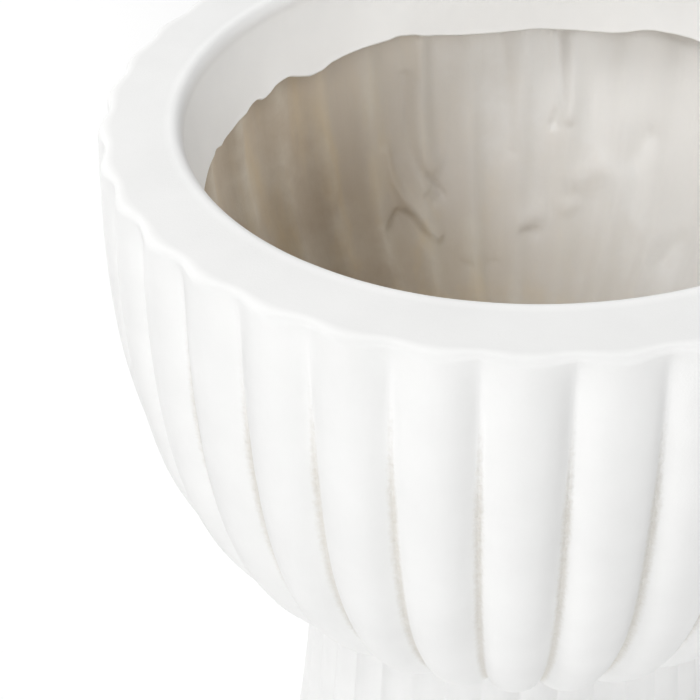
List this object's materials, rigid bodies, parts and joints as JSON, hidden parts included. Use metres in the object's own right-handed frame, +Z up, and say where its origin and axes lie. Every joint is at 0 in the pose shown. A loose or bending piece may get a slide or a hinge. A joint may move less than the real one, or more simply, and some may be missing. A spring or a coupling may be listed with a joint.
{
  "type": "ribbed urn planter",
  "caption": "Round urn planter: a ribbed bowl with a thick flat rim and drain, bedded on a hollow ribbed pedestal that flares to a padded foot, with a lift-out drain plug.",
  "frame": {"origin": "on the floor in the middle of the planter, under its axis", "axes": "+Z up along the planter's axis; a rib crest of the bowl lies on +X, -X, +Y and -Y"},
  "size_m": [0.3959, 0.3959, 0.46],
  "materials": {
    "painted_fibre_cement": "matt white masonry paint over cast fibre cement",
    "cement_mortar": "raw grey-beige cement mortar",
    "black_rubber": "moulded rubber",
    "grey_rubber": "moulded rubber"
  },
  "bodies": {
    "planter": {"bowl": "painted_fibre_cement", "mortar_bed": "cement_mortar", "pedestal": "painted_fibre_cement", "foot_pad_1": "grey_rubber", "foot_pad_2": "grey_rubber", "foot_pad_3": "grey_rubber", "foot_pad_4": "grey_rubber"},
    "plug": {"drain_plug": "black_rubber"}
  },
  "joints": [
    {"name": "plug_lift", "type": "slide", "parent": "planter", "child": "plug", "axis": [0, 0, 1], "range_m": [0, 0.3]}
  ]
}
